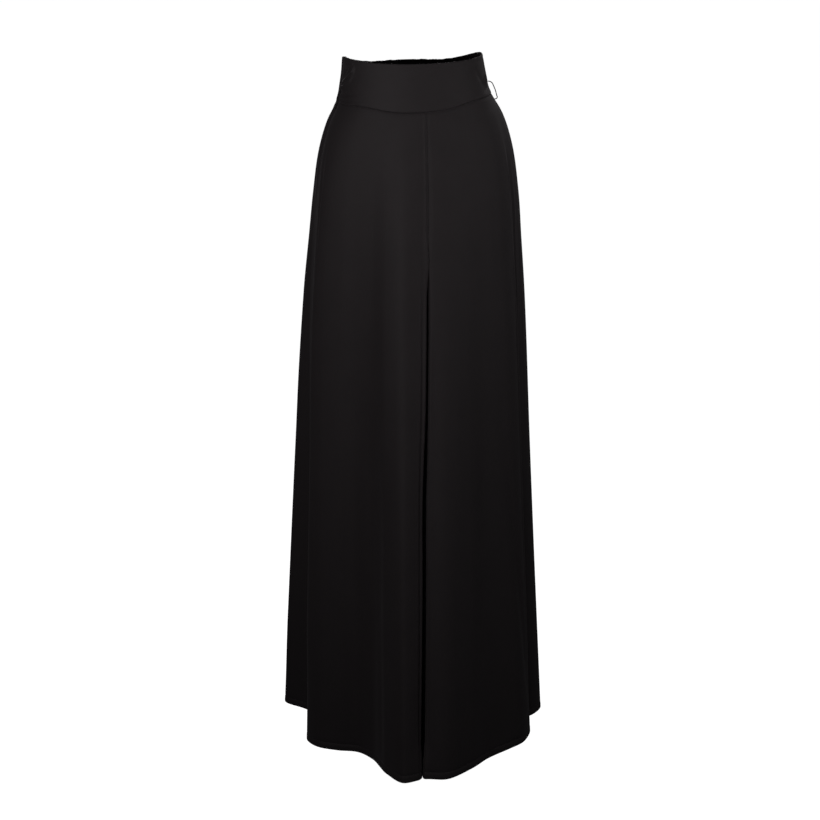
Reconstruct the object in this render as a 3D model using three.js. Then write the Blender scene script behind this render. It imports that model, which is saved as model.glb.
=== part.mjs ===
// Wide-leg trousers with a high waistband, hollow and filled out as they are worn.
// Millimetres, +Z up. The front faces -Y and +X is the wearer's left.
// The origin is the middle of the waist, level with the seam under the waistband.
//
// A turn is an angle round the waist in degrees: 0 at the centre front, 90 at the side, 180 at the centre back.
// A side is +1 for the wearer's left leg and -1 for the right leg.
import * as THREE from 'three';

// Cloth and seams
const CLOTH = 1.6; // wall of the leg cloth
const BAND_CLOTH = 2.4; // wall of the waistband, which is folded double over a stiffener
const SEAM_GAP = 0.3; // space between two pieces at a seam
const WAIST_HALF = 112; // half width of the waist seam

// Heights
const BAND_TOP = 72;
const WAIST_SEAM = 0;
const FRONT_SPLIT = -165; // the centre front seam starts to curve under here
const BACK_SPLIT = -205;
const CROTCH = -340;
const SEAT_FOOT = -348; // the seat piece of each leg's back ends here, just under the crotch
const HEM = -998;
const BACK_DROP = 12; // how far the top edge dips at the centre back
const SEAM_TILT = { slope: 3.5, rise: 5.5 }; // lift of the waist seam at the left side, by x and by its square
const TILT_FADE = 130; // the tilt has died out this far below the waistband

// Plan of the smooth ring that the cloth hangs from, a row for each height: lean is the x of its middle, half is the
// half width, and front, middle and back are the y of its front, its widest line and its back.
const RING = [
  { z: 72, lean: 0, half: 100.5, front: -73, middle: 0, back: 68 },
  { z: 36, lean: 1.2, half: 105, front: -76, middle: 0, back: 76 },
  { z: 0, lean: 2.4, half: WAIST_HALF, front: -80, middle: 0, back: 90 },
  { z: -30, lean: 3.2, half: 128.5, front: -86, middle: -1, back: 104 },
  { z: -75, lean: 3.7, half: 143.5, front: -94, middle: -2, back: 119 },
  { z: -135, lean: 3.5, half: 153, front: -102, middle: -2, back: 130 },
  { z: -210, lean: 2.6, half: 160, front: -109, middle: 2, back: 137 },
  { z: -300, lean: 2, half: 168, front: -116, middle: 10, back: 141 },
  { z: -550, lean: 1, half: 181, front: -130, middle: 15, back: 150 },
  { z: -998, lean: 0, half: 204, front: -150, middle: 15, back: 172 },
];

// The line of the centre seams, and of the gap between the two legs under the crotch, a row for each height:
// middle is its x, and half is the distance from there to the middle of each wall.
const CENTRE = [
  { z: 0, middle: 7.6, half: 0.95 },
  { z: -60, middle: 7, half: 0.95 },
  { z: -130, middle: 6.6, half: 0.95 },
  { z: -210, middle: 4.9, half: 1.1 },
  { z: -280, middle: 4.2, half: 1.9 },
  { z: -340, middle: 3.4, half: 2 },
  { z: -420, middle: 1.2, half: 2.1 },
  { z: -560, middle: -5, half: 2.3 },
  { z: -700, middle: -6.6, half: 2.3 },
  { z: -820, middle: -8, half: 2.4 },
  { z: -998, middle: -11.2, half: 2.6 },
];

// Fold lines of each leg, a row for each: its turn on the ring at the waist, where it ends in plan at the hem,
// and how far the hem is lifted there. They run from the side seam to the inner edge of the leg. bend says how the
// front and the back turn into the inner wall: its edge is width out from the wall's line and depth behind the face,
// and it ends shoulder behind the face.
const FOLDS = {
  right: {
    side: -1,
    bend: { width: 2, depth: 3, shoulder: 9 },
    front: [
      { name: 'side seam in the groove', turn: 88, hemX: -141, hemY: 62, lift: 0 },
      { name: 'back of the front fold', turn: 80, hemX: -157, hemY: 38, lift: 0 },
      { name: 'edge of the front fold', turn: 73, hemX: -163, hemY: 12, lift: 0 },
      { name: 'outer front', turn: 63, hemX: -150, hemY: -16, lift: 0 },
      { name: 'flat front', turn: 52, hemX: -122, hemY: -34, lift: 0 },
      { name: 'inner end of the flat', turn: 41, hemX: -92, hemY: -46, lift: 0 },
      { name: 'valley', turn: 31, hemX: -73, hemY: -78, lift: 0 },
      { name: 'outer face of the lobe', turn: 22, hemX: -62, hemY: -135, lift: 0 },
      { name: 'lobe', turn: 13, hemX: -42, hemY: -175, lift: 0 },
      { name: 'inner corner', turn: 5, hemX: -18, hemY: -166, lift: 0 },
    ],
    back: [
      { name: 'side seam in the groove', turn: 88, hemX: -141, hemY: 62, lift: 0 },
      { name: 'front of the back fold', turn: 97, hemX: -147, hemY: 112, lift: 8 },
      { name: 'edge of the back fold', turn: 107, hemX: -180, hemY: 148, lift: 12 },
      { name: 'outer back', turn: 119, hemX: -160, hemY: 178, lift: 10 },
      { name: 'back groove', turn: 131, hemX: -122, hemY: 158, lift: 6 },
      { name: 'back ridge', turn: 143, hemX: -96, hemY: 190, lift: 4 },
      { name: 'inner back groove', turn: 155, hemX: -66, hemY: 172, lift: 2 },
      { name: 'inner back ridge', turn: 166, hemX: -38, hemY: 194, lift: 0 },
      { name: 'inner back corner', turn: 175, hemX: -18, hemY: 176, lift: 0 },
    ],
  },
  left: {
    side: 1,
    bend: { width: 1.2, depth: 1.3, shoulder: 5 },
    front: [
      { name: 'side seam on the back fold', turn: 90, hemX: 219, hemY: 92, lift: 1 },
      { name: 'front of the back fold', turn: 79, hemX: 199, hemY: 60, lift: 0 },
      { name: 'side groove', turn: 68, hemX: 168, hemY: 44, lift: 0 },
      { name: 'edge of the front fold', turn: 59, hemX: 184, hemY: 6, lift: 0 },
      { name: 'outer front', turn: 50, hemX: 165, hemY: -46, lift: 0 },
      { name: 'flat front', turn: 41, hemX: 136, hemY: -72, lift: 0 },
      { name: 'middle front', turn: 32, hemX: 103, hemY: -98, lift: 0 },
      { name: 'inner front', turn: 23, hemX: 66, hemY: -138, lift: 0 },
      { name: 'lobe', turn: 13, hemX: 24, hemY: -170, lift: 0 },
      { name: 'inner corner', turn: 5, hemX: -3, hemY: -164, lift: 0 },
    ],
    back: [
      { name: 'side seam on the back fold', turn: 90, hemX: 219, hemY: 92, lift: 1 },
      { name: 'back of the back fold', turn: 100, hemX: 208, hemY: 128, lift: 4 },
      { name: 'outer back', turn: 111, hemX: 172, hemY: 142, lift: 8 },
      { name: 'outer back ridge', turn: 122, hemX: 152, hemY: 178, lift: 8 },
      { name: 'back groove', turn: 133, hemX: 112, hemY: 160, lift: 5 },
      { name: 'back ridge', turn: 144, hemX: 88, hemY: 188, lift: 3 },
      { name: 'inner back groove', turn: 155, hemX: 58, hemY: 170, lift: 2 },
      { name: 'inner back ridge', turn: 166, hemX: 30, hemY: 192, lift: 0 },
      { name: 'inner back corner', turn: 175, hemX: 2, hemY: 176, lift: 0 },
    ],
  },
};
const FOLD_GROWTH = 0.95; // power by which the folds deepen from the waist to the hem

// Inner walls of the legs
const INSEAM_TOP_Y = 20;
const INSEAM_HEM_Y = 12;
const WALL_SWAY = 6; // how far the inner walls wave from side to side at the hem
const SWAY_LENGTH = 330;

// Gathers of the elastic back
const BACK_FOLDS = 8; // spans between the fold lines of a leg's back
const GATHERS_PER_FOLD = 1;
const BAND_GATHER = 1.5; // height of the gathers on the waistband
const LEG_GATHER = 2.2; // height of the gathers just under the waistband
const GATHER_FADE = 190; // the gathers have died out this far below the waistband

// Belt loops, a row for each: clearance is the free space behind it. The right one lies against the waistband.
const LOOPS = {
  right: { clearance: 1.2, top: 16, foot: -11 },
  left: { clearance: 5.6, top: 16, foot: -11 },
};
const LOOP_DIAMETER = 2;
const LOOP_SEAM_GAP = 0.7; // space between a loop's end and the cloth it is sewn to
const LOOP_STEPS = 14;
const LOOP_SIDES = 8;

// Rows and columns of the walls
const LEG_ROWS = [
  0, -11, -30, -56, -92, -136, -185, -232, -268, -296, -318, -332, -339, SEAT_FOOT, -400, -500, -625, -760, -890, HEM,
];
const BAND_ROWS = [BAND_TOP, 44, 16, WAIST_SEAM];
const FRONT_STEPS = 3; // columns from one fold line to the next
const BACK_STEPS = 5;
const WALL_STEPS = 2;
const BAND_FRONT_COLUMNS = 28;
const BAND_BACK_COLUMNS = 80;

const DEGREE = Math.PI / 180;

// One column of a table at a height, on a smooth curve through its rows.
function column(rows, name, z) {
  let i = 0;
  while (i < rows.length - 2 && z < rows[i + 1].z) i += 1;
  const slope = (k) => (rows[k + 1][name] - rows[k][name]) / (rows[k + 1].z - rows[k].z);
  const span = rows[i + 1].z - rows[i].z;
  const startSlope = i > 0 ? (slope(i - 1) + slope(i)) / 2 : slope(i);
  const endSlope = i < rows.length - 2 ? (slope(i) + slope(i + 1)) / 2 : slope(i);
  const t = (z - rows[i].z) / span;
  const start = (1 + 2 * t) * (1 - t) ** 2 * rows[i][name] + t * (1 - t) ** 2 * span * startSlope;
  const end = t * t * (3 - 2 * t) * rows[i + 1][name] + t * t * (t - 1) * span * endSlope;
  return start + end;
}

function smooth(t) {
  const s = THREE.MathUtils.clamp(t, 0, 1);
  return s * s * (3 - 2 * s);
}

// Plan point of the smooth ring.
function ringPoint(side, turn, z) {
  const middle = column(RING, 'middle', z);
  const end = column(RING, turn < 90 ? 'front' : 'back', z);
  const x = column(RING, 'lean', z) + side * column(RING, 'half', z) * Math.sin(turn * DEGREE);
  const y = middle + Math.abs(Math.cos(turn * DEGREE)) * (end - middle);
  return new THREE.Vector3(x, y, z);
}

// How far the waist seam is lifted at an x.
function seamLift(x) {
  const share = x / WAIST_HALF;
  return SEAM_TILT.slope * share + SEAM_TILT.rise * share ** 2;
}

// Share of a fold's full depth that it has at a height.
function foldShare(z) {
  return THREE.MathUtils.clamp(z / HEM, 0, 1) ** FOLD_GROWTH;
}

// Point of a fold line at a height: the ring's point there, moved by a share of the way that the line strays from
// the ring at the hem.
function foldPoint(side, fold, z) {
  const atHem = ringPoint(side, fold.turn, HEM);
  const share = foldShare(z);
  const point = ringPoint(side, fold.turn, z);
  point.x += (fold.hemX - atHem.x) * share;
  point.y += (fold.hemY - atHem.y) * share;
  return point;
}

// The x of the middle between the legs, which waves from front to back toward the hem.
function gapMiddle(y, z) {
  const sway = WALL_SWAY * foldShare(z) * smooth((CROTCH - z) / 200);
  return column(CENTRE, 'middle', z) - sway * Math.sin((2 * Math.PI * y) / SWAY_LENGTH);
}

// Points on the inner edge of a leg's front or back, past its corner. Above the split they lie side by side at the
// centre seam. Below it they follow the inner wall back to the crotch curve, and under the crotch to the inseam.
function innerPoints({ side, bend }, corner, z, isFront) {
  const split = isFront ? FRONT_SPLIT : BACK_SPLIT;
  const drop = THREE.MathUtils.clamp((split - z) / (split - CROTCH), 0, 1);
  const seamY = THREE.MathUtils.lerp(INSEAM_TOP_Y, INSEAM_HEM_Y, smooth((CROTCH - z) / (CROTCH - HEM)));
  const endY = THREE.MathUtils.lerp(seamY, corner.y, Math.sqrt(1 - drop * drop));
  const reach = endY - corner.y;
  const seam = ringPoint(side, isFront ? 0 : 180, z).setX(gapMiddle(0, z) + (side * SEAM_GAP) / 2);
  const closed = [0.5, 0.67, 0.84, 1].map((share) => corner.clone().lerp(seam, share));
  const inward = (depth, most) => corner.y + Math.sign(reach) * Math.min(depth, Math.abs(reach) * most);
  const places = [
    [inward(bend.depth, 0.15), bend.width], [inward(bend.shoulder, 0.3), 0], [corner.y + reach * 0.6, 0], [endY, 0],
  ];
  const opened = smooth(drop / 0.3);
  return places.map(([y, width], i) => {
    const x = gapMiddle(y, z) + side * (column(CENTRE, 'half', z) + width);
    return closed[i].lerp(new THREE.Vector3(x, y, z), opened);
  });
}

// Height of a gather at a place, outward from the cloth. along is that place's distance from the side seam,
// counted in fold lines.
function gather(along, z, top) {
  const ends = smooth((along - 0.15) / 0.6) * smooth((BACK_FOLDS - along) / 0.5);
  const fade = 1 - smooth(-z / GATHER_FADE);
  const uneven = 1 + 0.3 * Math.sin(along * 2.9);
  return top * ends * fade * uneven * Math.cos(along * GATHERS_PER_FOLD * 2 * Math.PI);
}

// Rows of plan points once round a leg, from one height to another: from the inner edge of its front, past the side
// seam, to that of its back. outward holds the direction out of the cloth at each point, and the side seam is point
// seam of each row.
function legRows(leg, top, foot) {
  return LEG_ROWS.filter((z) => z <= top && z >= foot).map((z) => {
    const front = leg.front.map((fold) => foldPoint(leg.side, fold, z));
    const back = leg.back.map((fold) => foldPoint(leg.side, fold, z));
    const innerFront = innerPoints(leg, front.at(-1), z, true);
    const innerBack = innerPoints(leg, back.at(-1), z, false);
    const stops = [...innerFront.toReversed(), ...front.toReversed(), ...back.slice(1), ...innerBack];
    const lifts = [
      ...innerFront.map(() => 0), ...leg.front.toReversed().map((fold) => fold.lift),
      ...leg.back.slice(1).map((fold) => fold.lift), ...innerBack.map(() => 0),
    ];
    const seamStop = innerFront.length + front.length - 1;
    const path = new THREE.CatmullRomCurve3(stops, false, 'centripetal');
    const spans = stops.length - 1;
    const row = [];
    for (let span = 0; span < spans; span += 1) {
      const isWall = span < innerFront.length || span >= spans - innerBack.length;
      const foldSteps = span < seamStop ? FRONT_STEPS : BACK_STEPS;
      const count = isWall ? WALL_STEPS : foldSteps;
      for (let k = 0; k < count; k += 1) {
        const point = path.getPoint((span + k / count) / spans);
        const lift = THREE.MathUtils.lerp(lifts[span], lifts[span + 1], k / count);
        row.push({ point, lift, along: span + k / count - seamStop });
      }
    }
    row.push({ point: stops.at(-1).clone(), lift: 0, along: spans - seamStop });
    row.seam = innerFront.length * WALL_STEPS + (front.length - 1) * FRONT_STEPS;
    row.forEach((stop, i) => {
      const before = row[Math.max(i - 1, 0)].point;
      const after = row[Math.min(i + 1, row.length - 1)].point;
      const way = new THREE.Vector3(after.x - before.x, after.y - before.y, 0).normalize();
      stop.outward = new THREE.Vector3(way.y, -way.x, 0).multiplyScalar(leg.side);
    });
    if (z <= CROTCH) {
      row[0].outward.set(-leg.side, 0, 0);
      row.at(-1).outward.set(-leg.side, 0, 0);
    }
    for (const { point, outward } of row) {
      const nearest = column(CENTRE, 'half', z) - (CLOTH / 2) * (1 - Math.abs(outward.x));
      const middle = gapMiddle(point.y, z);
      point.x = middle + leg.side * Math.max(leg.side * (point.x - middle), nearest);
    }
    return row;
  });
}

// Outer and inner points of a wall whose middle surface is a grid of rows. bump gives how far a stop is raised.
function wallPoints(grid, thickness, bump) {
  const face = (offset) => grid.map((row) => row.map((stop) => {
    return stop.point.clone().addScaledVector(stop.outward, bump(stop) + offset);
  }));
  return { outer: face(thickness / 2), inner: face(-thickness / 2) };
}

// A closed solid between two grids of points, with its faces pointing out. Its columns run with outward on the
// right for turnSign 1, and on the left for -1.
function wallGeometry({ outer, inner }, turnSign) {
  const rows = outer.length;
  const columns = outer[0].length;
  const positions = [...outer.flat(), ...inner.flat()].flatMap((p) => [p.x, p.y, p.z]);
  const at = (face, r, c) => face * rows * columns + r * columns + c;
  const index = [];
  const quad = (a, b, c, d) => index.push(...(turnSign > 0 ? [a, b, c, a, c, d] : [a, c, b, a, d, c]));
  for (let r = 0; r < rows - 1; r += 1) {
    for (let c = 0; c < columns - 1; c += 1) {
      quad(at(0, r, c), at(0, r + 1, c), at(0, r + 1, c + 1), at(0, r, c + 1));
      quad(at(1, r, c), at(1, r, c + 1), at(1, r + 1, c + 1), at(1, r + 1, c));
    }
    quad(at(0, r, 0), at(1, r, 0), at(1, r + 1, 0), at(0, r + 1, 0));
    quad(at(0, r, columns - 1), at(0, r + 1, columns - 1), at(1, r + 1, columns - 1), at(1, r, columns - 1));
  }
  for (let c = 0; c < columns - 1; c += 1) {
    quad(at(0, 0, c), at(0, 0, c + 1), at(1, 0, c + 1), at(1, 0, c));
    quad(at(0, rows - 1, c), at(1, rows - 1, c), at(1, rows - 1, c + 1), at(0, rows - 1, c + 1));
  }
  const geometry = new THREE.BufferGeometry();
  geometry.setAttribute('position', new THREE.Float32BufferAttribute(positions, 3));
  geometry.setIndex(index);
  geometry.computeVertexNormals();
  return geometry;
}

// The front or back of one leg, from one height to another.
function legPanel(leg, isFront, top, foot) {
  const rows = legRows(leg, top, foot);
  const grid = rows.map((row) => (isFront ? row.slice(0, row.seam + 1) : row.slice(row.seam)));
  const trim = ({ point, outward }, direction) => {
    const way = new THREE.Vector3(-outward.y, outward.x, 0).multiplyScalar(leg.side);
    point.addScaledVector(way, (direction * SEAM_GAP) / 2);
  };
  for (const row of grid) {
    const hasInseam = row[0].point.z <= CROTCH;
    if (!isFront || hasInseam) trim(row[0], 1);
    if (isFront || hasInseam) trim(row.at(-1), -1);
  }
  for (const { point, lift } of grid.flat()) point.z += lift * (point.z / HEM) ** 2;
  for (const { point } of grid.flat()) point.z += seamLift(point.x) * smooth(1 + point.z / TILT_FADE);
  for (const { point } of grid[0]) point.z -= SEAM_GAP;
  const bump = (stop) => (isFront ? 0 : gather(stop.along, stop.point.z, LEG_GATHER));
  return wallGeometry(wallPoints(grid, CLOTH, bump), leg.side);
}

// The front or back of the waistband, from the right side seam to the left one.
function waistband(isFront) {
  const columns = isFront ? BAND_FRONT_COLUMNS : BAND_BACK_COLUMNS;
  const toFront = isFront ? 1 : -1;
  const grid = BAND_ROWS.map((z) => {
    const row = [];
    for (let c = 0; c <= columns; c += 1) {
      const round = -90 + (180 * c) / columns;
      const side = Math.sign(round) || 1;
      const turn = isFront ? Math.abs(round) : 180 - Math.abs(round);
      const ahead = ringPoint(side, turn + 0.5, z).sub(ringPoint(side, turn - 0.5, z)).normalize();
      const outward = new THREE.Vector3(ahead.y * side, -ahead.x * side, 0);
      row.push({ point: ringPoint(side, turn, z), outward, along: ((turn - 90) / 90) * BACK_FOLDS });
    }
    for (const { point, outward } of [row[0], row.at(-1)]) {
      point.y -= toFront * SEAM_GAP / 2;
      outward.set(Math.sign(point.x), 0, 0);
    }
    for (const { point, along } of row) {
      const share = z / BAND_TOP;
      point.z += seamLift(point.x) * (1 - share) - BACK_DROP * share * smooth((1.3 * along) / BACK_FOLDS);
    }
    return row;
  });
  const bump = (stop) => (isFront ? 0 : gather(stop.along, 0, BAND_GATHER));
  return wallGeometry(wallPoints(grid, BAND_CLOTH, bump), toFront);
}

// A thin round loop over the side seam, which bridges the seam under the waistband.
function beltLoop(leg, { clearance, top, foot }) {
  const radius = LOOP_DIAMETER / 2;
  const off = clearance + radius;
  const stop = (z, distance) => {
    const thickness = z < WAIST_SEAM ? CLOTH : BAND_CLOTH;
    const point = foldPoint(leg.side, leg.front[0], z);
    point.x += leg.side * (thickness / 2 + distance);
    point.z += seamLift(point.x);
    return point;
  };
  const bend = Math.max(off * 0.8, LOOP_SEAM_GAP + 1.3);
  const path = new THREE.CatmullRomCurve3([
    stop(top, LOOP_SEAM_GAP),
    stop(top, LOOP_SEAM_GAP + 1),
    stop(top - 2, bend),
    stop(top - 6, off),
    stop((top + foot) / 2, off + 0.8),
    stop(foot + 6, off),
    stop(foot + 2, bend),
    stop(foot, LOOP_SEAM_GAP + 1),
    stop(foot, LOOP_SEAM_GAP),
  ], false, 'centripetal');
  const section = new THREE.Shape();
  section.absarc(0, 0, radius, 0, 2 * Math.PI, false);
  return new THREE.ExtrudeGeometry(section, {
    steps: LOOP_STEPS,
    curveSegments: LOOP_SIDES,
    bevelEnabled: false,
    extrudePath: path,
  });
}

const blackCloth = { color: 0x1d1b1c, roughness: 0.72, metalness: 0 };
const trousers = new THREE.Group();

function add(name, geometry) {
  const mesh = new THREE.Mesh(geometry, new THREE.MeshStandardMaterial(blackCloth));
  mesh.name = name;
  trousers.add(mesh);
}

add('waistband_front', waistband(true));
add('waistband_back', waistband(false));
for (const [name, leg] of Object.entries(FOLDS)) {
  add(`${name}_leg_front`, legPanel(leg, true, WAIST_SEAM, HEM));
  add(`${name}_seat`, legPanel(leg, false, WAIST_SEAM, SEAT_FOOT));
  add(`${name}_leg_back`, legPanel(leg, false, SEAT_FOOT, HEM));
  add(`${name}_belt_loop`, beltLoop(leg, LOOPS[name]));
}

export default trousers;
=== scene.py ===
# Black wide-leg trousers with a high waistband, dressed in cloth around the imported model.
# The tables are in millimetres, in the model's frame: +Z up, the front faces -Y, +X is the wearer's left.
import math
import bpy
import numpy as np
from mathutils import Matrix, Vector


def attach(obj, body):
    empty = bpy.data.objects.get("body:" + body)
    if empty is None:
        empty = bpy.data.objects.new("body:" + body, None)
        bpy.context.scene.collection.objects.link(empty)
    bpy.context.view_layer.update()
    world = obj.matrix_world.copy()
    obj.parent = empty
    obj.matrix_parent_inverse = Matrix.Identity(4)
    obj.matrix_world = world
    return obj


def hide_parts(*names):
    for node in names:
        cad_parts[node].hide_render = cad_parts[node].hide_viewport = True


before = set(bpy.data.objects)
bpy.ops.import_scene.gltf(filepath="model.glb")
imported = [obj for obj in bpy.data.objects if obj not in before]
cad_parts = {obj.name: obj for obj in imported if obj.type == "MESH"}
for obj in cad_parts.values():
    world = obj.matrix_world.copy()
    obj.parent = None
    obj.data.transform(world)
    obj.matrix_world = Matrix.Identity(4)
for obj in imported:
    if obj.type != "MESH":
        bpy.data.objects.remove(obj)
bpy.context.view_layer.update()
MM = 0.001

# Cloth and seams
CLOTH = 1.3
BAND_CLOTH = 2.4
SEAM_GAP = 0.3
SEAM_EASE = 0.2

# Heights, from the waist seam up and down, and how much lower the waistband ends at the back
BAND_TOP = 72
FRONT_SPLIT = -165
BACK_SPLIT = -205
CROTCH = -340
SEAM_FOOT = -347
HEM = -998
BACK_DROP = 20

# Waist seam: its half width, its tilt and rise to the sides, and how much higher the front of it lies
WAIST_HALF = 112
TILT_SLOPE = 3.5
TILT_RISE = 5.5
TILT_FADE = 130
SEAM_HIGHER = 2
HIP_RISE = 5.3
HIP_RISE_AT = 82
HIP_RISE_WIDTH = 31
HIGHER_FADE_Y = 70

# Plan of the smooth ring that the cloth hangs from, a row for each height
RING = [
    {"z": 72, "lean": 0, "half": 100.5, "front": -73, "middle": 0, "back": 68},
    {"z": 36, "lean": 1.2, "half": 105, "front": -76, "middle": 0, "back": 76},
    {"z": 0, "lean": 2.4, "half": WAIST_HALF, "front": -80, "middle": 0, "back": 90},
    {"z": -30, "lean": 3.2, "half": 128.5, "front": -86, "middle": -1, "back": 104},
    {"z": -75, "lean": 3.7, "half": 143.5, "front": -94, "middle": -2, "back": 119},
    {"z": -135, "lean": 3.5, "half": 153, "front": -102, "middle": -2, "back": 130},
    {"z": -210, "lean": 2.6, "half": 160, "front": -109, "middle": 2, "back": 137},
    {"z": -300, "lean": 2, "half": 168, "front": -116, "middle": 10, "back": 141},
    {"z": -550, "lean": 1, "half": 181, "front": -130, "middle": 15, "back": 150},
    {"z": -998, "lean": 0, "half": 204, "front": -150, "middle": 15, "back": 172},
]

# The line of the centre seams, and of the gap between the legs under the crotch
CENTRE = [
    {"z": 0, "middle": 7.6, "half": 0.95},
    {"z": -60, "middle": 7, "half": 0.95},
    {"z": -130, "middle": 6.6, "half": 0.95},
    {"z": -210, "middle": 4.9, "half": 1.1},
    {"z": -280, "middle": 4.2, "half": 1.9},
    {"z": -340, "middle": 3.4, "half": 2},
    {"z": -420, "middle": 1.2, "half": 2.1},
    {"z": -560, "middle": -5, "half": 2.3},
    {"z": -700, "middle": -6.6, "half": 2.3},
    {"z": -820, "middle": -8, "half": 2.4},
    {"z": -998, "middle": -11.2, "half": 2.6},
]

# Fold lines of each leg, from the side seam to the inner edge: turn round the waist in degrees, place in plan
# at the hem, and how much higher than the others it ends
FOLD_COLUMNS = ("turn", "hem_x", "hem_y", "lift")
LEGS = {
    "right": {
        "side": -1,
        "seed": 1.3,
        "bend": {"width": 2, "depth": 3, "shoulder": 9},
        "front": [
            (88, -141, 62, 0), (80, -157, 38, 0), (73, -163, 12, 0), (63, -150, -16, 0), (52, -122, -34, 0),
            (41, -92, -46, 0), (31, -73, -78, 0), (22, -62, -135, 0), (13, -42, -175, 0), (5, -18, -166, 0),
        ],
        "back": [
            (88, -141, 62, 0), (97, -147, 112, 8), (107, -180, 148, 12), (119, -160, 178, 10),
            (131, -122, 158, 6), (143, -96, 190, 4), (155, -66, 172, 2), (166, -38, 194, 0),
            (175, -18, 176, 0),
        ],
    },
    "left": {
        "side": 1,
        "seed": 2.9,
        "bend": {"width": 1.2, "depth": 1.3, "shoulder": 5},
        "front": [
            (90, 219, 92, 1), (79, 199, 60, 0), (68, 168, 44, 0), (59, 184, 6, 0), (50, 165, -46, 0),
            (41, 136, -72, 0), (32, 103, -98, 0), (23, 66, -138, 0), (13, 24, -170, 0), (5, -3, -164, 0),
        ],
        "back": [
            (90, 219, 92, 1), (100, 208, 128, 4), (111, 172, 142, 8), (122, 152, 178, 8),
            (133, 112, 160, 5), (144, 88, 188, 3), (155, 58, 170, 2), (166, 30, 192, 0),
            (175, 2, 176, 0),
        ],
    },
}
FOLD_GROWTH = 0.95
OPENED_AT = 0.3

# Slow waves of hanging cloth: length and height of each, and the distances over which they grow
DRAPE_WAVES = ((210, 0.5), (120, 0.35), (68, 0.22), (39, 0.12))
BACK_SEED = 1.6
DRAPE_DROP = 450
DRAPE_TOP = 60
DRAPE_SIDE = 14
DRAPE_CENTRE = 26

# Inner walls of the legs
INSEAM_TOP_Y = 20
INSEAM_HEM_Y = 12
WALL_SWAY = 6
SWAY_LENGTH = 330

# Gathers of the elastic back
BACK_FOLDS = 8
BAND_GATHER = 1.5
LEG_GATHER = 2.2
SMALL_BAND_GATHER = 0.75
SMALL_LEG_GATHER = 0.8
GATHERS_PER_FOLD = 3.3
GATHER_FADE = 190
GATHER_BLEND = 26

# Hems
HEM_DEPTH = 11
HEM_EXTRA = 0.9
HEM_GROOVE = 0.45
HEM_GROOVE_WIDTH = 1.0
HEM_SWELL = 0.25
HEM_SWELL_FADE = 3
HEM_ROUNDING = 1.2

# Seams, and the gap between the legs
SEAM_DITCH = 0.8
SEAM_DITCH_WIDTH = 2.2
SEAM_RIDGE = 0.85
SEAM_RIDGE_AT = 4.2
SEAM_RIDGE_WIDTH = 1.5
SEAM_RIDGE_FOOT = FRONT_SPLIT - 60
SEAM_RIDGE_FADE = 40
WAIST_DITCH = 0.8
WAIST_DITCH_WIDTH = 1.6
WAIST_SWELL = 0.3
WAIST_SWELL_AT = 6.5
WAIST_SWELL_WIDTH = 2.2
GAP_OPENING = 1.3
GAP_OPENING_FROM = CROTCH - 50
GAP_OPENING_LENGTH = 160
GAP_OPENING_FOLDS = 1.6
GAP_CLOSING = 2.9
GAP_CLOSING_FROM = -938
GAP_CLOSING_LENGTH = 45

# Waistband: the stitched line of its facing, its ditch at the waist seam, and its rounded edges
FACING_LINE = 0.35
FACING_HEIGHT = 64.5
FACING_WIDTH = 1.3
BAND_DITCH_WIDTH = 1.5
BAND_ROUNDING = 1.3

# Stitches of the hems
STITCH_PITCH = 3.4
STITCH_LENGTH = 2.3
STITCH_RADIUS = 0.22
STITCH_LIFT = 0.05
STITCH_TAPER = (0.4, 1, 0.4)

# Spacing of the cloth's points, and extra rows at the waist seam, the hem and the waistband's edges
ROW_STEP = 6
CLOSEST_ROWS = 0.25
COLUMN_STEP = 3.3
EDGE_STEP = 1.5
WALL_STEP = 12
WAIST_ROWS = (0.5, 1.1, 1.9, 3.0)
HEM_ROWS = (HEM_DEPTH + 1.6, HEM_DEPTH + 0.6, HEM_DEPTH, HEM_DEPTH - 0.6, HEM_DEPTH - 1.6, 1, 0.4)
BAND_COLUMNS = {"front": 190, "back": 300}
BAND_ROWS = 37
BAND_EDGE_ROWS = (0.5, 1.1, 3.0, BAND_TOP - 0.5, BAND_TOP - 1.1, BAND_TOP - 3.2)
SHARP_ANGLE = math.radians(50)


def column(rows, name, z):
    """One column of a table at heights z, on a smooth curve through its rows."""
    z = np.asarray(z, float)
    heights = np.array([row["z"] for row in rows], float)
    values = np.array([row[name] for row in rows], float)
    slope = np.diff(values) / np.diff(heights)
    tangent = np.concatenate([slope[:1], (slope[:-1] + slope[1:]) / 2, slope[-1:]])
    i = np.clip(np.searchsorted(-heights, -z, side="left") - 1, 0, len(rows) - 2)
    span = heights[i + 1] - heights[i]
    t = (z - heights[i]) / span
    start = (1 + 2 * t) * (1 - t) ** 2 * values[i] + t * (1 - t) ** 2 * span * tangent[i]
    end = t * t * (3 - 2 * t) * values[i + 1] + t * t * (t - 1) * span * tangent[i + 1]
    return start + end


def smooth(t):
    """Goes gently from 0 to 1 as t does."""
    s = np.clip(t, 0, 1)
    return s * s * (3 - 2 * s)


def lerp(a, b, t):
    return a + (b - a) * t


def ring_point(side, turn, z):
    """Plan points of the smooth ring, as an array of x and y."""
    middle = column(RING, "middle", z)
    end = column(RING, "front" if turn < 90 else "back", z)
    angle = math.radians(turn)
    x = column(RING, "lean", z) + side * column(RING, "half", z) * math.sin(angle)
    y = middle + abs(math.cos(angle)) * (end - middle)
    return np.stack([x, y], -1)


def seam_lift(x, y):
    """How much higher than level the waist seam lies over a place in plan."""
    share = x / WAIST_HALF
    higher = SEAM_HIGHER + HIP_RISE * ridge(np.abs(x) - HIP_RISE_AT, HIP_RISE_WIDTH)
    return TILT_SLOPE * share + TILT_RISE * share**2 + higher * smooth(1 - y / HIGHER_FADE_Y)


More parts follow.
